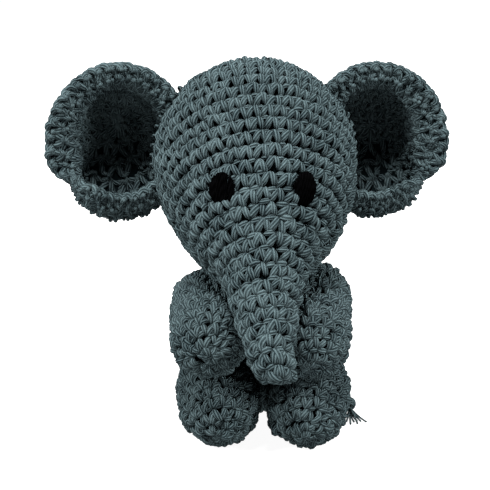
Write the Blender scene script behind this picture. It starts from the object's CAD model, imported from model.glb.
"""A crocheted elephant that sits. Every stitch is yarn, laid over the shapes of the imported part.

Metres, +Z up, the elephant faces -Y. Places and sizes in the tables are in millimetres.
"""
import math

import bpy
import numpy as np
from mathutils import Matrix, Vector


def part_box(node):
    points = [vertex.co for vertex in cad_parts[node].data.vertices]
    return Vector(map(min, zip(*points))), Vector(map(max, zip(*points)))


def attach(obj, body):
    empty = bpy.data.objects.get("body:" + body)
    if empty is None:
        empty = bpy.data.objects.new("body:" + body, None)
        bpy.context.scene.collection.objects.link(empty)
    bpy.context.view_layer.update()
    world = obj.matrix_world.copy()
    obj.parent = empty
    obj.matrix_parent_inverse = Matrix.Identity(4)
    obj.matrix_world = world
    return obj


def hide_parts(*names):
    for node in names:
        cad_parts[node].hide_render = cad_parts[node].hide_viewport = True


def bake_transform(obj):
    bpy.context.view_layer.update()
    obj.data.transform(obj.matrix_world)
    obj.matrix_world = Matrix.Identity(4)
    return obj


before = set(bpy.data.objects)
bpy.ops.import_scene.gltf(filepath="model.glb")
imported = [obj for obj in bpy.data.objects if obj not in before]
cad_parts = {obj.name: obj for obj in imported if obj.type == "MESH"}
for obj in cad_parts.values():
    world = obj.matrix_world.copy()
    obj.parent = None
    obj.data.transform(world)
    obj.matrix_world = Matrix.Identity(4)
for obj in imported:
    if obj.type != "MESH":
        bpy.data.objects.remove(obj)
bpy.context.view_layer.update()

MM = 0.001
rng = np.random.default_rng(7)

# Stitches, and the layers under them, as depths below a piece's outer surface
STITCH_WIDTH = 6.0 * MM
STITCH_HEIGHT = 6.3 * MM
STRAND = 1.50 * MM        # radius of a strand about its middle
YARN_DEPTH = 2.1 * MM     # the strands' centrelines
BACKING_DEPTH = 4.3 * MM  # the closed fabric behind the stitches
FILLING_DEPTH = 5.2 * MM  # the stuffing
PRESSED_FLAT = 0.05 * MM  # what would hang lower than this is pressed flat against the table

# Strands
STRAND_SIDES = 8          # sides of the tube that stands for a strand
TWIST = 0.3               # plies that cross a line along a crocheted or sewn strand in a millimetre of it
CORD_TWIST = 0.25         # the same in the eyes' threads, the tail and its knots
PLY_TWIST = 0.5           # the same in the loose plies
UP = (0, 0, 1.0)

# Camera
camera = bpy.data.objects.new("camera", bpy.data.cameras.new("camera"))
camera.data.sensor_width = 36
camera.data.lens = 93.1
camera.location = (-0.0075, -0.5712, 0.2502)
camera.rotation_euler = (math.radians(73), 0, 0)
bpy.context.scene.collection.objects.link(camera)
bpy.context.scene.camera = camera
bpy.context.scene.view_settings.view_transform = "Standard"


# ---------------------------------------------------------------- materials
def matt_material(name):
    """A material with no shine. Returns it with its nodes, links and shader."""
    material = bpy.data.materials.new(name)
    material.use_nodes = True
    nodes = material.node_tree.nodes
    shader = nodes["Principled BSDF"]
    shader.inputs["Roughness"].default_value = 0.9
    shader.inputs["Specular IOR Level"].default_value = 0
    shader.inputs["IOR"].default_value = 1
    return material, nodes, material.node_tree.links, shader


def noise_node(nodes, links, place, scale, detail):
    noise = nodes.new("ShaderNodeTexNoise")
    noise.inputs["Scale"].default_value = scale
    noise.inputs["Detail"].default_value = detail
    links.new(place.outputs["Object"], noise.inputs["Vector"])
    return noise.outputs["Fac"]


def times_plus(nodes, links, value, factor, more):
    """A node that gives value x factor + more."""
    node = nodes.new("ShaderNodeMath")
    node.operation = "MULTIPLY_ADD"
    links.new(value, node.inputs[0])
    node.inputs[1].default_value = factor
    links.new(more, node.inputs[2])
    return node.outputs[0]


def colour_mix(nodes, links, factor, dark, light, shader):
    mix = nodes.new("ShaderNodeMix")
    mix.data_type = "RGBA"
    mix.inputs["A"].default_value = (*dark, 1)
    mix.inputs["B"].default_value = (*light, 1)
    links.new(factor, mix.inputs["Factor"])
    links.new(mix.outputs["Result"], shader.inputs["Base Color"])


def yarn_material(name, dark, light, plies, sheen, groove=0.55):
    """Spun cotton: plies wind round each strand, with fine fibre noise and slow changes of shade."""
    material, nodes, links, shader = matt_material(name)
    shader.inputs["Sheen Weight"].default_value = sheen
    shader.inputs["Sheen Roughness"].default_value = 0.45
    shader.inputs["Sheen Tint"].default_value = (0.75, 0.88, 0.9, 1)

    strand = nodes.new("ShaderNodeUVMap")
    strand.uv_map = "ply"
    split = nodes.new("ShaderNodeSeparateXYZ")
    links.new(strand.outputs["UV"], split.inputs[0])
    around = times_plus(nodes, links, split.outputs["Y"], plies, split.outputs["X"])
    turn = nodes.new("ShaderNodeMath")
    turn.operation = "MULTIPLY"
    links.new(around, turn.inputs[0])
    turn.inputs[1].default_value = 2 * math.pi
    wave = nodes.new("ShaderNodeMath")
    wave.operation = "SINE"
    links.new(turn.outputs[0], wave.inputs[0])

    place = nodes.new("ShaderNodeTexCoord")
    fibre = noise_node(nodes, links, place, scale=2200, detail=3)
    shade = noise_node(nodes, links, place, scale=130, detail=2)
    tone = times_plus(nodes, links, wave.outputs[0], 0.36, shade)
    mottle = times_plus(nodes, links, fibre, 0.5, tone)
    colour = nodes.new("ShaderNodeMapRange")
    colour.inputs["From Min"].default_value = 0.25
    colour.inputs["From Max"].default_value = 1.2
    links.new(mottle, colour.inputs["Value"])
    colour_mix(nodes, links, colour.outputs["Result"], dark, light, shader)

    height = times_plus(nodes, links, fibre, 1.1, wave.outputs[0])
    bump = nodes.new("ShaderNodeBump")
    bump.inputs["Strength"].default_value = groove
    bump.inputs["Distance"].default_value = 0.22 * MM
    links.new(height, bump.inputs["Height"])
    links.new(bump.outputs["Normal"], shader.inputs["Normal"])
    return material


def plain_material(name, colour):
    """One colour, a little darker in places."""
    material, nodes, links, shader = matt_material(name)
    place = nodes.new("ShaderNodeTexCoord")
    noise = noise_node(nodes, links, place, scale=900, detail=2)
    colour_mix(nodes, links, noise, [0.8 * c for c in colour], colour, shader)
    return material


GREY = yarn_material("grey_yarn", dark=(0.0025, 0.005, 0.0062), light=(0.047, 0.067, 0.071),
                     plies=7, sheen=0.01, groove=0.9)
SEWING = yarn_material("sewing_yarn", dark=(0.004, 0.007, 0.008), light=(0.036, 0.051, 0.054),
                       plies=3, sheen=0.01)
BLACK = yarn_material("black_yarn", dark=(0.0001, 0.0001, 0.0001), light=(0.0008, 0.0008, 0.0009),
                      plies=3, sheen=0.0)
PLY = yarn_material("loose_plies", dark=(0.005, 0.008, 0.009), light=(0.036, 0.051, 0.054),
                    plies=2, sheen=0.01)
BACKING = plain_material("grey_backing", (0.002, 0.0035, 0.004))
FIBRE = plain_material("fibre_fill", (0.80, 0.80, 0.78))


# ---------------------------------------------------------------- meshes
def smooth(points, count):
    """A curve through the points (Catmull-Rom), as this many points, evenly spaced in its parameter."""
    points = np.asarray(points, float)
    padded = np.vstack([2 * points[0] - points[1], points, 2 * points[-1] - points[-2]])
    where = np.linspace(0, len(points) - 1, count)
    index = np.minimum(where.astype(int), len(points) - 2)
    t = (where - index)[:, None]
    p0, p1, p2, p3 = (padded[index + k] for k in range(4))
    return 0.5 * (2 * p1 + (p2 - p0) * t + (2 * p0 - 5 * p1 + 4 * p2 - p3) * t ** 2
                  + (3 * p1 - p0 - 3 * p2 + p3) * t ** 3)


def unit(vectors):
    length = np.linalg.norm(vectors, axis=-1, keepdims=True)
    return vectors / np.maximum(length, 1e-12)


def make_object(name, vertices, faces, material, uv=None):
    """A smooth mesh object from vertices (n, 3) and lists of face arrays, each (count, corners)."""
    mesh = bpy.data.meshes.new(name)
    vertices = np.array(vertices)
    vertices[:, 2] = np.maximum(vertices[:, 2], PRESSED_FLAT)
    loops = np.concatenate([f.ravel() for f in faces]).astype(np.int32)
    sizes = np.concatenate([np.full(len(f), f.shape[1]) for f in faces])
    mesh.vertices.add(len(vertices))
    mesh.vertices.foreach_set("co", np.asarray(vertices, np.float32).ravel())
    mesh.loops.add(len(loops))
    mesh.loops.foreach_set("vertex_index", loops)
    mesh.polygons.add(len(sizes))
    starts = np.concatenate([[0], np.cumsum(sizes)[:-1]])
    mesh.polygons.foreach_set("loop_start", starts.astype(np.int32))
    mesh.polygons.foreach_set("use_smooth", np.ones(len(sizes), bool))
    layer = mesh.uv_layers.new(name="ply")
    if uv is not None:
        layer.data.foreach_set("uv", np.asarray(uv, np.float32).ravel())
    mesh.update(calc_edges=True)
    mesh.validate()
    mesh.materials.append(material)
    piece = bpy.data.objects.new(name, mesh)
    bpy.context.scene.collection.objects.link(piece)
    return piece


def tubes(paths, ups, radii, sides, twist):
    """Round strands along paths (n, m, 3). The ups say which way is out of the toy there.

    Returns the vertices, the sides' and the ends' faces, and uv: (plies passed, share of the way round).
    """
    paths = np.asarray(paths, float)
    count, length = paths.shape[:2]
    along = unit(np.gradient(paths, axis=1))
    across = unit(np.cross(along, ups))
    out = np.cross(across, along)
    angle = np.arange(sides) * 2 * math.pi / sides
    ring = across[:, :, None] * np.cos(angle)[:, None] + out[:, :, None] * np.sin(angle)[:, None]
    radii = np.broadcast_to(radii, (count, length))
    vertices = (paths[:, :, None] + ring * radii[:, :, None, None]).reshape(-1, 3)

    step = np.linalg.norm(np.diff(paths, axis=1), axis=2)
    run = np.concatenate([np.zeros((count, 1)), np.cumsum(step, axis=1)], axis=1) / MM * twist
    run = run + rng.random((count, 1))
    index = np.arange(count * length * sides).reshape(count, length, sides)
    after = np.roll(index, -1, axis=2)
    quads = np.stack([index[:, :-1], after[:, :-1], after[:, 1:], index[:, 1:]], axis=-1).reshape(-1, 4)
    turn = np.broadcast_to(np.arange(sides) / sides, (count, length - 1, sides))
    here = np.broadcast_to(run[:, :-1, None], turn.shape)
    there = np.broadcast_to(run[:, 1:, None], turn.shape)
    quad_uv = np.stack([np.stack([here, turn], -1), np.stack([here, turn + 1 / sides], -1),
                        np.stack([there, turn + 1 / sides], -1), np.stack([there, turn], -1)], axis=3)
    caps = np.concatenate([index[:, 0, ::-1], index[:, -1]])
    uv = np.concatenate([quad_uv.reshape(-1, 2), np.zeros((caps.size, 2))])
    return vertices, quads, caps, uv


def join_tubes(parts):
    """Several results of tubes() as one set of vertices, faces and uv."""
    vertices = []
    faces = []
    uvs = []
    start = 0
    for points, quads, caps, uv in parts:
        vertices.append(points)
        faces += [quads + start, caps + start]
        uvs.append(uv)
        start += len(points)
    return np.concatenate(vertices), faces, np.concatenate(uvs)


def strand_object(name, parts, material):
    vertices, faces, uv = join_tubes(parts)
    return make_object(name, vertices, faces, material, uv)


# ---------------------------------------------------------------- shapes
ARC_POINTS = 60


def outline(pieces):
    """Points along arcs (centre, radius, first and last degree) and lines (two points), in metres.

    Returns each point's distance from the start, its radius and its height.
    """
    points = []
    for piece in pieces:
        if len(piece) == 4:
            centre, radius, first, last = piece
            angle = np.radians(np.linspace(first, last, ARC_POINTS))
            points.append(np.array(centre) + radius * np.stack([np.cos(angle), np.sin(angle)], 1))
        else:
            points.append(np.array(piece, float))
    points = np.concatenate(points) * MM
    keep = np.concatenate([[True], np.linalg.norm(np.diff(points, axis=0), axis=1) > 1e-7])
    points = points[keep]
    run = np.concatenate([[0], np.cumsum(np.linalg.norm(np.diff(points, axis=0), axis=1))])
    return run, points[:, 0], points[:, 1]


def polar(centre, radius, degrees):
    angle = math.radians(degrees)
    return (centre[0] + radius * math.cos(angle), centre[1] + radius * math.sin(angle))


def ease(share):
    """A share from 0 to 1 that starts and ends gently."""
    share = np.clip(share, 0, 1)
    return share * share * (3 - 2 * share)


def turn_to(direction):
    """A rotation that takes +Z to a direction, as a 3x3 array."""
    way = Vector(direction).normalized()
    return np.array(Vector((0, 0, 1)).rotation_difference(way).to_matrix())


def upright(direction):
    """A rotation that takes +Z to a direction and keeps +Y as near to upwards as it can."""
    way = unit(np.array(direction, float))
    across = unit(np.cross(UP, way))
    return np.array([across, np.cross(way, across), way]).T


class Turned:
    """A surface of revolution, worked from the start of its outline."""

    def __init__(self, pieces, centre, rotation):
        self.run, self.radius, self.height = outline(pieces)
        self.length = self.run[-1]
        self.centre = np.array(centre, float) * MM
        self.rotation = rotation

    def point(self, along, around):
        radius = np.interp(along, self.run, self.radius)
        height = np.interp(along, self.run, self.height)
        local = np.stack([radius * np.cos(around), radius * np.sin(around), height], -1)
        return local @ self.rotation.T + self.centre

    def girth(self, along):
        """The distance round the surface at a distance from its start."""
        return 2 * math.pi * np.interp(along, self.run, self.radius)


class Limb(Turned):
    """A capsule worked from its far end, whose rounds lie about an axis that dips towards the sole."""

    def __init__(self, root, root_radius, end, end_radius, tilt):
        axis = Vector(root) - Vector(end)
        self.reach = axis.length * MM
        self.ends = (end_radius * MM, root_radius * MM)
        self.tilt = math.radians(tilt)
        pieces = [((0, 0), end_radius, -90, 0), ((end_radius, 0), (root_radius, axis.length)),
                  ((0, axis.length), root_radius, 0, 90)]
        super().__init__(pieces, end, upright(axis))

    def point(self, along, around):
        radius = np.interp(along, self.run, self.radius)
        height = np.interp(along, self.run, self.height)
        turn = self.tilt * ease(1 - height / self.reach)
        tube = np.clip(height, 0, self.reach)
        x = radius * np.cos(around)
        y = radius * np.sin(around) * np.cos(turn) + (height - tube) * np.sin(turn)
        z = tube + (height - tube) * np.cos(turn) - radius * np.sin(around) * np.sin(turn)
        # The tilted rounds leave the capsule, so each point is put back at the capsule's radius.
        foot = np.clip(z, 0, self.reach)
        back = np.interp(foot, (0, self.reach), self.ends) / np.sqrt(x * x + y * y + (z - foot) ** 2)
        local = np.stack([x * back, y * back, foot + (z - foot) * back], -1)
        return local @ self.rotation.T + self.centre


POLE = 0.4 * MM  # a net's first and last rounds are this far from the surface's poles
END = 0.25 * MM  # and no strand comes nearer to a pole than this


def frame_at(surface, along, around):
    """Points on a surface and the way out of it there."""
    step = 0.2 * MM
    turn = 0.02
    low = np.clip(along - step, step, surface.run[-1] - 3 * step)
    high = low + 2 * step
    down = surface.point(high, around) - surface.point(low, around)
    middle = (low + high) / 2
    beside = surface.point(middle, around + turn) - surface.point(middle, around - turn)
    return surface.point(along, around), unit(np.cross(beside, down))


def grid(surface, rounds, sides):
    """A surface as a net: places, the way out there, vertex numbers, their neighbours round it, and quads."""
    along = np.linspace(POLE, surface.length - POLE, rounds)
    around = np.arange(sides) * 2 * math.pi / sides
    place, out = frame_at(surface, *np.meshgrid(along, around, indexing="ij"))
    index = np.arange(rounds * sides).reshape(rounds, sides)
    after = np.roll(index, -1, axis=1)
    quads = np.stack([index[:-1], index[1:], after[1:], after[:-1]], -1).reshape(-1, 4)
    return place, out, index, after, quads


def backing(surface, depth, rounds=80, sides=96):
    """A closed smooth mesh at a depth inside a surface, as vertices and faces."""
    place, out, index, _, quads = grid(surface, rounds, sides)
    caps = np.stack([index[0], index[-1, ::-1]])
    return (place - out * depth).reshape(-1, 3), [quads, caps]


# A stitch is two legs that meet at its top and a bar across it. Each point is given as shares of the
# stitch's width and height and as millimetres out of the surface.
LEG = [(0.03, -0.50, -2.6), (0.08, -0.38, -0.8), (0.16, -0.19, 0.4), (0.25, 0.01, 0.6),
       (0.33, 0.19, 0.1), (0.39, 0.31, -1.2), (0.42, 0.40, -2.9)]
BAR = [(0.16, -0.60, -2.2), (0.30, -0.50, -0.2), (0.50, -0.43, 0.6), (0.70, -0.37, -0.2),
       (0.84, -0.36, -2.2)]
LEG_POINTS = 9
BAR_POINTS = 6


def swell(shares, count):
    """A strand's thickness along it, as shares of its full radius."""
    return smooth([(share,) for share in shares], count)[:, 0]


LEG_SWELL = swell((0.55, 0.88, 1.0, 1.04, 1.0, 0.86, 0.55), LEG_POINTS)
BAR_SWELL = swell((0.55, 0.86, 0.96, 0.86, 0.55), BAR_POINTS)
STRANDS_OF_STITCH = ((LEG, LEG_POINTS, LEG_SWELL, 1), (LEG, LEG_POINTS, LEG_SWELL, -1),
                     (BAR, BAR_POINTS, BAR_SWELL, 1))

# Rounds
FEWEST = 6          # stitches in a round
MOST_CHANGE = 7     # stitches added or taken away from one round to the next
ROUND_SHIFT = 0.43  # each round starts this share of a stitch further round


def rounds_of(surface, height=STITCH_HEIGHT, width=STITCH_WIDTH, climb=0.8):
    """The stitches of every round: (distance along, angle, height, angular width, round number).

    The rounds are worked in a spiral: each one climbs by a share of its height on its way round.
    """
    rounds = max(1, round(surface.length / height))
    height = surface.length / rounds
    stitches = []
    count = FEWEST
    shift = 0.0
    for number in range(rounds):
        middle = (number + 0.5) * height
        wanted = max(FEWEST, round(surface.girth(middle) / width))
        if number:
            wanted = max(count - MOST_CHANGE, min(count + MOST_CHANGE, wanted))
        count = wanted
        shift += ROUND_SHIFT
        steepness = climb * height * (0 < number < rounds - 1)
        step = 2 * math.pi / count
        for k in range(count):
            rise = steepness * ((k + shift) / count % 1 - 0.5)
            stitches.append((middle + rise, (k + shift) * 2 * math.pi / count, height, step, number))
    return np.array(stitches)


def stitch_tubes(surface, stitches, side=1, depth=YARN_DEPTH, thick=STRAND, loose=1.0, bar_depth=0.0):
    """The strands of these stitches on the outer (1) or inner (-1) side of a surface.

    The looser the work, the more the strands differ. The bars can lie deeper than the legs.
    """
    parts = []
    count = len(stitches)
    middle, around, height, width, _ = (column[:, None] for column in stitches.T)
    shift = rng.normal(0, 0.055 * loose, (count, 3))
    lean = 0.06 + rng.normal(0, 0.10 * loose, (count, 1))
    for template, points, thickness, mirror in STRANDS_OF_STITCH:
        path = smooth(template, points)
        wobble = rng.normal(0, 0.04 * loose, (count, 3))
        across = path[:, 0] * mirror + shift[:, :1] + wobble[:, :1] + lean * path[:, 1]
        down = path[:, 1] + shift[:, 1:2] + wobble[:, 1:2]
        lift = (path[:, 2] + shift[:, 2:] * 5 + wobble[:, 2:] * 5) * MM
        if template is BAR:
            lift = lift - bar_depth
        along = np.clip(middle + down * height, END, surface.run[-1] - END)
        place, out = frame_at(surface, along, around + across * width)
        out = out * side
        path = place + out * (lift - depth)[..., None]
        radii = thick * thickness * (1 + rng.normal(0, 0.05 * loose, (count, 1)))
        parts.append(tubes(path, out, radii, STRAND_SIDES, TWIST))
    return parts


def finish_piece(piece, body, replaces=()):
    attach(piece, body)
    if replaces:
        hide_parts(*replaces)


def padded_pair(name, surface, body, node, fabric_net=(80, 96), filling_net=(40, 40)):
    """The closed fabric behind a piece's stitches, which stands for its cover, and the stuffing in it."""
    fabric = make_object(name + "_fabric", *backing(surface, BACKING_DEPTH, *fabric_net), BACKING)
    finish_piece(fabric, body, [node + "_cover"])
    filling = make_object(name + "_filling", *backing(surface, FILLING_DEPTH, *filling_net), FIBRE)
    finish_piece(filling, body, [node + "_stuffing"])


# ---------------------------------------------------------------- head and trunk
HEAD_CENTRE = (-3, -10, 119.5)
HEAD_RADIUS = 46.2
YAW = math.radians(4.5)     # the face looks this far to its own left
PITCH = math.radians(34.5)  # the trunk points this far down
TRUNK_WAY = (math.sin(YAW) * math.cos(PITCH), -math.cos(YAW) * math.cos(PITCH), -math.sin(PITCH))

# The outline: half a ball, a cheek's bulging arc, a hollow arc, a straight cone and a round tip
CHEEK_RADIUS = 86
CHEEK_TURN = 39.5
HOLLOW_RADIUS = 60
HOLLOW_END = 191.5
TIP_RADIUS = 7
TRUNK_END = 119.5           # from the head's centre
CHEEK = (HEAD_RADIUS - CHEEK_RADIUS, 0)
HOLLOW = polar(CHEEK, CHEEK_RADIUS + HOLLOW_RADIUS, CHEEK_TURN)
TIP = (0, TRUNK_END - TIP_RADIUS)
CONE_TURN = HOLLOW_END - 180

# How far the trunk sways to the elephant's left, in millimetres, at shares of the outline
TRUNK_SWAY = ((0, 0.6, 0.8, 0.93, 1), (0, 0, -1.5, -1.0, 3.0))
TRUNK_FULLER = 1.9          # added to the trunk's radius towards its end


class Head(Turned):
    """The head, whose trunk is a little fatter towards its end and sways sideways before its tip."""

    def __init__(self, pieces, centre, rotation):
        super().__init__(pieces, centre, rotation)
        share = np.clip((self.run / self.length - 0.66) / 0.25, 0, 1)
        at_tip = np.minimum(self.radius / (8 * MM), 1)
        self.radius = self.radius + TRUNK_FULLER * MM * share * at_tip

    def point(self, along, around):
        place = super().point(along, around)
        place[..., 0] += np.interp(along / self.length, *TRUNK_SWAY) * MM
        return place


head = Head([((0, 0), HEAD_RADIUS, -90, 0),
             (CHEEK, CHEEK_RADIUS, 0, CHEEK_TURN),
             (HOLLOW, HOLLOW_RADIUS, CHEEK_TURN + 180, HOLLOW_END),
             (polar(HOLLOW, HOLLOW_RADIUS, HOLLOW_END), polar(TIP, TIP_RADIUS, CONE_TURN)),
             (TIP, TIP_RADIUS, CONE_TURN, 90)],
            HEAD_CENTRE, turn_to(TRUNK_WAY))
head_stitches = rounds_of(head)
head_rounds = int(head_stitches[:, 4].max()) + 1

# Each part of the head: its first round, the round after its last, its strands' radius, how loose it is
# and how deep its bars lie
HEAD_PIECES = (("crown_stitches", 0, 11, 1.36, 0.8, 1.6),
               ("face_stitches", 11, 19, 1.40, 1.0, 1.2),
               ("trunk_stitches", 19, head_rounds, 1.46, 1.5, 0.2))
for name, first, last, thick, loose, bar_depth in HEAD_PIECES:
    chosen = head_stitches[(head_stitches[:, 4] >= first) & (head_stitches[:, 4] < last)]
    strands = stitch_tubes(head, chosen, thick=thick * MM, loose=loose, bar_depth=bar_depth * MM)
    finish_piece(strand_object(name, strands, GREY), "head")
padded_pair("head", head, "head", "head", fabric_net=(140, 128), filling_net=(60, 48))

# ---------------------------------------------------------------- limbs
# The part's capsules: root, its radius, far end, its radius, and how far the rounds at that end tilt
LIMBS = {
    "right_arm": ((-25, -28, 55), 15.8, (-23, -67, 54), 16.6, 3),
    "left_arm": ((24.4, -25.5, 56.3), 15.8, (22, -62.5, 51.8), 16.2, 16),
    "right_leg": ((-21, -36, 18.4), 18, (-18.6, -56, 18.2), 18.2, 26),
    "left_leg": ((22, -36, 18.4), 18, (19.2, -54, 18.2), 18.2, 26),
}
LIMB_STITCH = 5.6 * MM
LIMB_STRAND = 1.32 * MM
# Stuffing makes each limb fuller than its capsule, most of all at its root, and moves its far end
FULLER = {"right_arm": 0.7, "left_arm": 1.3, "right_leg": 0.4, "left_leg": 0.8}
MOVED = {"right_arm": (0, 0, 0), "left_arm": (-0.8, 0, -0.5), "right_leg": (-0.3, 0, 0.2),
         "left_leg": (0.5, -2.5, 0.4)}
for name, (root, root_radius, end, end_radius, tilt) in LIMBS.items():
    more = FULLER[name]
    limb = Limb(np.array(root) + (0, 0, 1.2 * more), root_radius + 1.3 * more,
                np.array(end) + MOVED[name], end_radius + 0.5 * more, tilt)
    stitches = rounds_of(limb, height=LIMB_STITCH, width=LIMB_STITCH)
    strands = stitch_tubes(limb, stitches, thick=LIMB_STRAND, loose=1.4)
    finish_piece(strand_object(name + "_stitches", strands, GREY), name)
    padded_pair(name, limb, name, name)


# ---------------------------------------------------------------- body
BODY_MIDDLE = (0, 0, 36)
PRESS_GAP = 0.3   # between the body and what presses into it
CHIN_REACH = 8    # the head presses as a ball that reaches this far along the trunk


class Pressed(Turned):
    """The body: an egg that the head and the limbs press into."""

    def point(self, along, around):
        place = super().point(along, around)
        middle = np.array(BODY_MIDDLE) * MM
        ball = np.array(HEAD_CENTRE) * MM
        for _ in range(6):
            for root, root_radius, end, end_radius, _ in LIMBS.values():
                place = push_out(place, np.array(root) * MM, np.array(end) * MM,
                                 (max(root_radius, end_radius) + PRESS_GAP) * MM, middle)
            place = push_out(place, ball, ball + np.array(TRUNK_WAY) * CHIN_REACH * MM,
                             (HEAD_RADIUS + PRESS_GAP) * MM, middle)
        return place


def push_out(place, root, end, radius, middle):
    """Moves points that are inside a capsule towards the body's middle, by as much as they are inside it."""
    axis = end - root
    share = np.clip((place - root) @ axis / (axis @ axis), 0, 1)
    off = place - (root + share[..., None] * axis)
    inside = np.maximum(radius - np.linalg.norm(off, axis=-1, keepdims=True), 0)
    return place + unit(middle - place) * inside


# The outline: a flat bottom, two arcs that meet at the widest place, and a flat top under the chin
BODY_WIDEST = 42.5
WIDEST_HEIGHT = 30
BODY_HEIGHT = 71
LOW_RADIUS = 32.8
HIGH_RADIUS = 46
BODY_LOW = (BODY_WIDEST - LOW_RADIUS, WIDEST_HEIGHT)
BODY_HIGH = (BODY_WIDEST - HIGH_RADIUS, WIDEST_HEIGHT)
low_angle = -math.degrees(math.asin(WIDEST_HEIGHT / LOW_RADIUS))
high_angle = math.degrees(math.asin((BODY_HEIGHT - WIDEST_HEIGHT) / HIGH_RADIUS))
body = Pressed([((0.0, 0.0), polar(BODY_LOW, LOW_RADIUS, low_angle)),
                (BODY_LOW, LOW_RADIUS, low_angle, 0),
                (BODY_HIGH, HIGH_RADIUS, 0, high_angle),
                (polar(BODY_HIGH, HIGH_RADIUS, high_angle), (0.0, BODY_HEIGHT))],
               (0, 0, 0), np.eye(3))
body_stitches = rounds_of(body)
place, _ = frame_at(body, body_stitches[:, 0], body_stitches[:, 1])
unpressed = Turned.point(body, body_stitches[:, 0], body_stitches[:, 1])
# Stitches that are pressed in further than this are hidden behind the head or a limb
shown = np.linalg.norm(place - unpressed, axis=1) < 7 * MM
strands = stitch_tubes(body, body_stitches[shown])
finish_piece(strand_object("body_stitches", strands, GREY), "torso")
padded_pair("body", body, "torso", "body", filling_net=(50, 48))


# ---------------------------------------------------------------- ears
EDGE = 3  # the ear's surface goes on this far past its rim, for the loops along the rim
BOWL_RADIUS = 24
BOWL_HEIGHT = 2.5
BOWL_TURN = -6      # where the bowl ends and its lip begins to turn out
LIP_RADIUS = 5.5
LIP_TURN = 98
LIP_FLAT = 4.8
# The outline along the bottom, from the bowl's middle to the rim, as distances from the axis and heights
BOTTOM = [(0, -21.5), (11.5, -20), (22, -15), (29.5, -7), (32.8, 1), (31, 8), (26, 11.5), (20.5, 12)]
BULGE = 0.07        # the share by which the rim is wider towards the ear's low outer corner
EAR_ROUNDS = 40     # of the closed fabric between the ear's two faces
EAR_SIDES = 90
EAR_HALF = 0.4 * MM  # half of that fabric's thickness


class Ear:
    """A bowl whose lip turns out at the top and the outer side, and comes forward along the bottom."""

    def __init__(self, side, middle, mouth):
        self.corner = 3.9 if side < 0 else 5.5
        centre = (0, BOWL_HEIGHT)
        lip = polar(centre, BOWL_RADIUS + LIP_RADIUS, BOWL_TURN)
        edge = polar(lip, LIP_RADIUS, LIP_TURN)
        self.run, self.radius, self.height = outline(
            [(centre, BOWL_RADIUS, -90, BOWL_TURN), (lip, LIP_RADIUS, BOWL_TURN + 180, LIP_TURN),
             (edge, polar(edge, LIP_FLAT + EDGE, LIP_TURN - 90))])
        self.length = self.run[-1] - EDGE * MM
        self.bottom = smooth(BOTTOM, 40) * MM
        self.rotation = upright(mouth)
        self.centre = np.array(middle) * MM

    def girth(self, along):
        return 2 * math.pi * np.interp(along, self.run, self.radius)

    def curl(self, along):
        """The outline along the bottom, where the lip comes forward and curls up: radius and height."""
        share = along / self.run[-1] * (len(self.bottom) - 1)
        step = np.arange(len(self.bottom))
        return np.interp(share, step, self.bottom[:, 0]), np.interp(share, step, self.bottom[:, 1])

    def point(self, along, around):
        radius = np.interp(along, self.run, self.radius)
        height = np.interp(along, self.run, self.height)
        curled, curled_height = self.curl(along)
        low = ease((-np.sin(around) - 0.25) / 0.6)
        radius = radius + (curled - radius) * low
        height = height + (curled_height - height) * low
        oval = np.clip(1.3 - 0.04 * np.abs(along / MM - 31), 0, 1)
        radius = radius * (1 + BULGE * np.clip(along / self.length, 0, 1) ** 2 * np.cos(around - self.corner))
        x = radius * np.cos(around) * (1 - 0.10 * oval)
        y = radius * np.sin(around) * (1 + 0.08 * oval)
        local = np.stack([x, y, height], -1)
        return local @ self.rotation.T + self.centre


# A loop over the rim, as shares of a stitch's width, millimetres past the rim and millimetres outwards
RIM_LOOP = [(-0.34, -1.6, 1.9), (-0.2, -0.1, 1.4), (0.05, 0.6, 0.1), (0.25, 0.1, -1.4), (0.32, -1.6, -1.9)]
RIM_POINTS = 9
RIM_STRAND = 1.45 * MM


def rim_tubes(ear, stitches):
    """Two fat loops for each stitch of the last round, lying over the rim."""
    around = stitches[:, 1:2]
    width = stitches[:, 3:4]
    radii = RIM_STRAND * swell((0.7, 1, 1.05, 1, 0.7), RIM_POINTS)
    parts = []
    for mirror, start in ((1, -0.5), (-1, 0.0)):
        path = smooth(RIM_LOOP, RIM_POINTS)
        wobble = rng.normal(0, 0.04, (len(stitches), 3))
        along = ear.length + (path[:, 1] + wobble[:, :1] * 6) * MM
        place, out = frame_at(ear, along, around + (path[:, 0] * mirror + start + wobble[:, 1:2]) * width)
        path = place + out * ((path[:, 2] + wobble[:, 2:] * 4) * MM)[..., None]
        parts.append(tubes(path, out, radii, STRAND_SIDES, TWIST))
    return parts


def ear_fabric(name, ear):
    """The closed fabric between an ear's outer and inner stitches: two nets, joined along the rim."""
    place, out, index, after, quads = grid(ear, EAR_ROUNDS, EAR_SIDES)
    vertices = np.concatenate([place + out * EAR_HALF, place - out * EAR_HALF]).reshape(-1, 3)
    inner = EAR_ROUNDS * EAR_SIDES
    rim = np.stack([index[-1], index[-1] + inner, after[-1] + inner, after[-1]], -1)
    faces = [quads, quads[:, ::-1] + inner, rim, index[:1], index[:1, ::-1] + inner]
    return make_object(name, vertices, faces, BACKING)


def from_head(x, y, z):
    """A point given beside the head's middle, turned with the face, in millimetres."""
    cos = math.cos(YAW)
    sin = math.sin(YAW)
    return np.array([HEAD_CENTRE[0] + x * cos - y * sin, HEAD_CENTRE[1] + x * sin + y * cos,
                     HEAD_CENTRE[2] + z])


HINGE = (46.6, 4, 8)   # the middle of the line where an ear is sewn on, beside the head's middle
HIDDEN = 41            # an ear's stitches that are nearer to the head's middle than this are inside it
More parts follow.
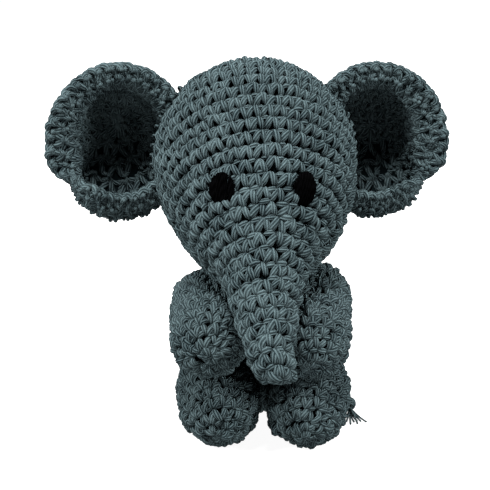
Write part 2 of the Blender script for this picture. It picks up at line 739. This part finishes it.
# Each ear's middle is beside the head's middle and a little above it
for side, word, beside, rise in ((-1, "right", 60, 10.3), (1, "left", 54, 9)):
    mouth = from_head(side * -0.12, -1, -0.05) - np.array(HEAD_CENTRE)
    ear = Ear(side, from_head(side * beside, 5, rise), mouth)
    stitches = rounds_of(ear, height=5.5 * MM, width=5.7 * MM, climb=0)
    place, _ = frame_at(ear, stitches[:, 0], stitches[:, 1])
    shown = np.linalg.norm(place - np.array(HEAD_CENTRE) * MM, axis=1) > HIDDEN * MM
    stitches = stitches[shown]
    parts = stitch_tubes(ear, stitches, side=1, depth=0.1 * MM, thick=1.5 * MM, loose=0.8)
    parts += stitch_tubes(ear, stitches, side=-1, depth=-0.1 * MM, thick=1.4 * MM, loose=1.2)
    parts += rim_tubes(ear, stitches[stitches[:, 4] == stitches[:, 4].max()])
    yarn = strand_object(word + "_ear_stitches", parts, GREY)
    fabric = ear_fabric(word + "_ear_fabric", ear)
    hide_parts(word + "_ear")
    for piece in (yarn, fabric):
        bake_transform(piece)

# ---------------------------------------------------------------- eyes
EYE_THREADS = 13
EYE_HALF_HEIGHT = 7.2
EYE_RISE = 2.0      # from a thread's ends out to its middle, on the longest thread
EYE_SUNK = 0.3      # and its ends lie this far inside the middle of the part's eye
EYE_THREAD = 0.62 * MM
for word, half_width in (("right", 5.1), ("left", 4.6)):
    low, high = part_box(word + "_eye")
    centre = np.array((low + high) / 2)
    out = unit(centre - np.array(HEAD_CENTRE) * MM)
    across = unit(np.cross(out, UP))
    up = np.cross(across, out)
    where = np.linspace(-1, 1, 14)[:, None]
    paths = []
    for k in range(EYE_THREADS):
        off = -0.93 + 1.86 * k / (EYE_THREADS - 1)
        reach = math.sqrt(1 - off * off)
        tall = where * reach * EYE_HALF_HEIGHT
        rise = EYE_RISE * np.sqrt(np.clip(1 - off * off - (where * reach) ** 2, 0, 1)) - EYE_SUNK
        wave = rng.normal(0, 0.12)
        paths.append(centre + MM * (across * (off * half_width + wave) + up * tall + out * rise))
    paths = np.array(paths)
    radii = EYE_THREAD * (1 + rng.normal(0, 0.06, (EYE_THREADS, 1)))
    threads = tubes(paths, np.broadcast_to(out, paths.shape), radii, STRAND_SIDES, CORD_TWIST)
    eye = strand_object(word + "_eye_threads", [threads], BLACK)
    finish_piece(eye, "head", [word + "_eye"])


# ---------------------------------------------------------------- sewing
SEWING_STRAND = 0.62 * MM
WHIP_REACH = 2.2   # a stitch goes this far to each side of the line
WHIP_SLANT = 1.1   # and this far along it
WHIP_RISE = 0.9    # its middle stands this far out
WHIP_DIP = 1.6     # and its ends lie this much deeper


def whip(name, points, outs, across, body, node):
    """Short slanting stitches along a line of points, each an arch whose ends go into the covers."""
    points = np.array(points)
    outs = np.array(outs)
    across = np.array(across)
    along = unit(np.gradient(points, axis=0))
    where = np.linspace(-1, 1, 7)[None, :, None]
    path = (points[:, None] + across[:, None] * where * WHIP_REACH * MM
            + along[:, None] * where * WHIP_SLANT * MM
            + outs[:, None] * (WHIP_RISE - WHIP_DIP * where ** 2) * MM)
    ups = np.broadcast_to(outs[:, None], path.shape)
    piece = strand_object(name, [tubes(path, ups, SEWING_STRAND, STRAND_SIDES, TWIST)], SEWING)
    finish_piece(piece, body, [node])


def whip_ring(name, centre, normal, radius, node, pitch=4.5):
    """Sewing round a joint of the body, with a stitch about every pitch millimetres."""
    count = max(8, round(2 * math.pi * radius / pitch))
    turn = turn_to(normal)
    angle = np.arange(count) * 2 * math.pi / count
    around = np.stack([np.cos(angle), np.sin(angle), 0 * angle], 1) @ turn.T
    points = np.array(centre) * MM + around * radius * MM
    across = np.broadcast_to(np.array(Vector(normal).normalized()), points.shape)
    whip(name, points, around, across, "torso", node)


# The sewing of a limb is a ring on its round root, at an angle from the way to the body's middle
for name, angle in (("right_arm", 38), ("left_arm", 38), ("right_leg", 46), ("left_leg", 46)):
    root, radius = LIMBS[name][:2]
    inward = Vector((-root[0], -root[1], 0)).normalized()
    reach = radius + 1.5
    centre = Vector(root) + inward * reach * math.cos(math.radians(angle))
    whip_ring(name + "_sewing", centre, inward, reach * math.sin(math.radians(angle)), name + "_seam")

low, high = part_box("neck_seam")
neck = (low + high) / 2 / MM
for ring, radius in (("neck_sewing", 15), ("inner_neck_sewing", 12)):
    whip_ring(ring, neck, Vector(neck) - Vector(HEAD_CENTRE), radius, "neck_seam", pitch=1.9)

for side, word in ((-1, "right"), (1, "left")):
    flat = from_head(side * HINGE[0], *HINGE[1:]) - np.array(HEAD_CENTRE)
    flat[2] = 0
    points = []
    outs = []
    for height in np.linspace(-20, 32, 13):
        out = unit(np.array([*(unit(flat)[:2] * math.sqrt(HEAD_RADIUS ** 2 - height ** 2)), height]))
        points.append((np.array(HEAD_CENTRE) + out * (HEAD_RADIUS + 0.2)) * MM)
        outs.append(out)
    whip(word + "_ear_sewing", points, outs, np.cross(UP, outs), "head", word + "_ear_seam")

# ---------------------------------------------------------------- tail
TAIL_ROUTE = [(0, 46, 16), (0.8, 54, 14.6), (6, 59.5, 9), (14.5, 58.5, 3.6), (23.5, 52.5, 2.6),
              (31, 44, 2.6), (37, 33.5, 2.6), (40.4, 22.5, 2.6), (41.8, 11, 2.6), (41.8, 0, 2.6),
              (41.1, -9, 2.6), (41.4, -17.5, 2.6)]
TAIL_SIDES = 10   # of the tubes of the tail's and the knots' strands
route = bpy.data.curves.new("tail_route", "CURVE")
route.dimensions = "3D"
route.resolution_u = 16
spline = route.splines.new("NURBS")
spline.points.add(len(TAIL_ROUTE) - 1)
for point, place in zip(spline.points, TAIL_ROUTE):
    point.co = (*(c * MM for c in place), 1)
spline.order_u = 3
spline.use_endpoint_u = True
guide = bpy.data.objects.new("tail_guide", route)
bpy.context.scene.collection.objects.link(guide)
bpy.context.view_layer.update()
line = bpy.data.meshes.new_from_object(guide)
centreline = np.array([v.co for v in line.vertices])
bpy.data.objects.remove(guide)
steps = np.concatenate([[0], np.cumsum(np.linalg.norm(np.diff(centreline, axis=0), axis=1))])
tail_length = steps[-1]
even = np.linspace(0, tail_length, 140)
centreline = np.stack([np.interp(even, steps, centreline[:, k]) for k in range(3)], 1)


def wound(name, centreline, strands, offset, pitch, radius):
    """Strands that wind round a centreline."""
    along = unit(np.gradient(centreline, axis=0))
    across = unit(np.cross(along, (0.02, 0.03, 1.0)))
    up = np.cross(across, along)
    run = np.arange(len(centreline)) * np.linalg.norm(centreline[1] - centreline[0])
    paths = []
    for k in range(strands):
        turn = 2 * math.pi * (run / pitch + k / strands)
        paths.append(centreline + offset * (across * np.cos(turn)[:, None] + up * np.sin(turn)[:, None]))
    paths = np.array(paths)
    outs = unit(paths - centreline)
    return strand_object(name, [tubes(paths, outs, radius, TAIL_SIDES, CORD_TWIST)], GREY)


tail = wound("tail_strands", centreline, strands=3, offset=1.05 * MM, pitch=9 * MM, radius=1.15 * MM)
finish_piece(tail, "tail", ["tail_cord"])


def knot(name, centre, radius, thick, body, node, way):
    """A small ball of yarn: loops wound over each other, about axes that are spread round one way."""
    paths = []
    ups = []
    angle = np.linspace(0, 2 * math.pi * 0.97, 24)
    for k in range(5):
        tilt = np.array([math.sin(2.4 * k), math.cos(1.7 * k), math.sin(3.1 * k)])
        turn = turn_to(unit(np.array(way) + 0.9 * tilt))
        ring = np.stack([np.cos(angle), np.sin(angle), 0.25 * np.sin(2 * angle)], 1) @ turn.T
        paths.append(np.array(centre) + ring * (radius - thick))
        ups.append(ring)
    piece = strand_object(name, [tubes(np.array(paths), np.array(ups), thick, TAIL_SIDES, CORD_TWIST)], GREY)
    finish_piece(piece, body, [node])
    return piece


low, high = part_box("tail_knot")
knot("tail_root_loops", (low + high) / 2, 3.6 * MM, 1.2 * MM, "torso", "tail_knot", (0, 1, 0))
way = unit(np.array(TAIL_ROUTE[-1]) - np.array(TAIL_ROUTE[-2]))
knot_centre = (np.array(TAIL_ROUTE[-1]) + way * 3.2) * MM
knot_centre[2] = 3.5 * MM
end_loops = knot("tail_end_loops", knot_centre, 3.4 * MM, 1.15 * MM, "tail", "tail_end_knot", way)

# The loose plies fan out from the knot, sink to the table and rise a little in their middles
PLIES = 8
beside = unit(np.cross(UP, way))
start = knot_centre / MM + way * 2.0
reach = np.linspace(0, 1, 14)
paths = []
for k in range(PLIES):
    spread = -0.35 + 0.85 * k / (PLIES - 1)
    length = 14 + rng.uniform(-2.5, 2.5)
    bend = rng.uniform(-0.12, 0.12)
    turn = spread * (0.35 + 0.65 * reach) + bend * reach ** 2
    sidewise = beside * (np.sin(turn) * reach * length)[:, None]
    forward = way * (np.cos(spread * reach) * reach * length)[:, None]
    path = start + sidewise + forward
    arch = rng.uniform(0, 1.6) * np.sin(math.pi * reach ** 0.7)
    path[:, 2] = 1.9 * np.exp(-4 * reach) + 0.8 + arch
    paths.append(path * MM)
paths = np.array(paths)
plies = tubes(paths, np.broadcast_to(UP, paths.shape), 0.45 * MM, STRAND_SIDES, PLY_TWIST)
tassel = strand_object("tail_plies", [plies], PLY)
finish_piece(tassel, "tail", ["tail_tassel"])

# ---------------------------------------------------------------- floor and light
FLOOR = 12  # metres from the middle to an edge, which a view from low down can see past
corners = [(-FLOOR, -FLOOR, 0), (FLOOR, -FLOOR, 0), (FLOOR, FLOOR, 0), (-FLOOR, FLOOR, 0)]
floor_mesh = bpy.data.meshes.new("floor")
floor_mesh.from_pydata(corners, [], [(0, 1, 2, 3)])
floor = bpy.data.objects.new("floor", floor_mesh)
floor_mesh.materials.append(bpy.data.materials.new("floor"))
floor_mesh.materials[0].use_nodes = True
floor_shader = floor_mesh.materials[0].node_tree.nodes["Principled BSDF"]
floor_shader.inputs["Base Color"].default_value = (0.16, 0.16, 0.16, 1)
floor_shader.inputs["Roughness"].default_value = 0.9
floor_shader.inputs["Emission Color"].default_value = (1, 1, 1, 1)
floor_shader.inputs["Emission Strength"].default_value = 0.95
bpy.context.scene.collection.objects.link(floor)

world = bpy.data.worlds.new("studio")
world.use_nodes = True
world.node_tree.nodes["Background"].inputs["Color"].default_value = (1, 1, 1, 1)
world.node_tree.nodes["Background"].inputs["Strength"].default_value = 0.10
bpy.context.scene.world = world


def lamp(name, place, size, power):
    """A square soft light that faces the toy's middle."""
    light = bpy.data.objects.new(name, bpy.data.lights.new(name, "AREA"))
    light.data.size = size
    light.data.energy = power
    light.location = place
    light.rotation_euler = (Vector((0, 0, 0.08)) - Vector(place)).to_track_quat("-Z", "Y").to_euler()
    bpy.context.scene.collection.objects.link(light)


lamp("left_box", (-0.85, -0.40, 0.65), 0.3, 29)
lamp("right_box", (0.85, -0.40, 0.65), 0.3, 25)
lamp("top_box", (-0.1, -0.45, 1.1), 0.25, 33)
lamp("back_box", (0.1, 0.90, 0.7), 0.4, 40)
